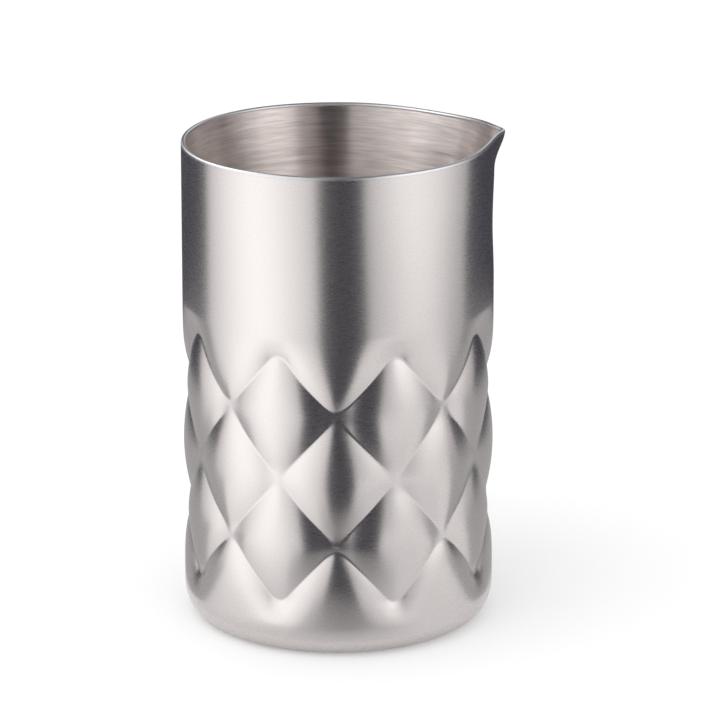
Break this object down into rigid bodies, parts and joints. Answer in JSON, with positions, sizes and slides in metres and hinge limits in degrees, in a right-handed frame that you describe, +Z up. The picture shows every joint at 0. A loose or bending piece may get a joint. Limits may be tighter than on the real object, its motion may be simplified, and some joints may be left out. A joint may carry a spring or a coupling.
{
  "type": "cocktail mixing vessel",
  "caption": "Double-walled steel mixing vessel for stirring drinks, straight sided, with a small pulled pouring lip and a quilted diamond relief around the lower wall.",
  "frame": {"origin": "middle of the flat underside of the base plate, which the vessel stands on", "axes": "+Z up along the vessel's axis, +X towards the pouring lip"},
  "size_m": [0.0935, 0.091, 0.1452],
  "materials": {
    "brushed_shell": "fine brushing around the body",
    "spun_liner": "coarse turning marks around the inside",
    "polished_rim": "ground round and polished",
    "base_steel": "circular brushing",
    "weld_steel": "ground weld"
  },
  "bodies": {
    "root": {"outer_shell": "brushed_shell", "inner_liner": "spun_liner", "rim_weld": "polished_rim", "base_plate": "base_steel", "base_weld": "weld_steel"}
  },
  "joints": []
}
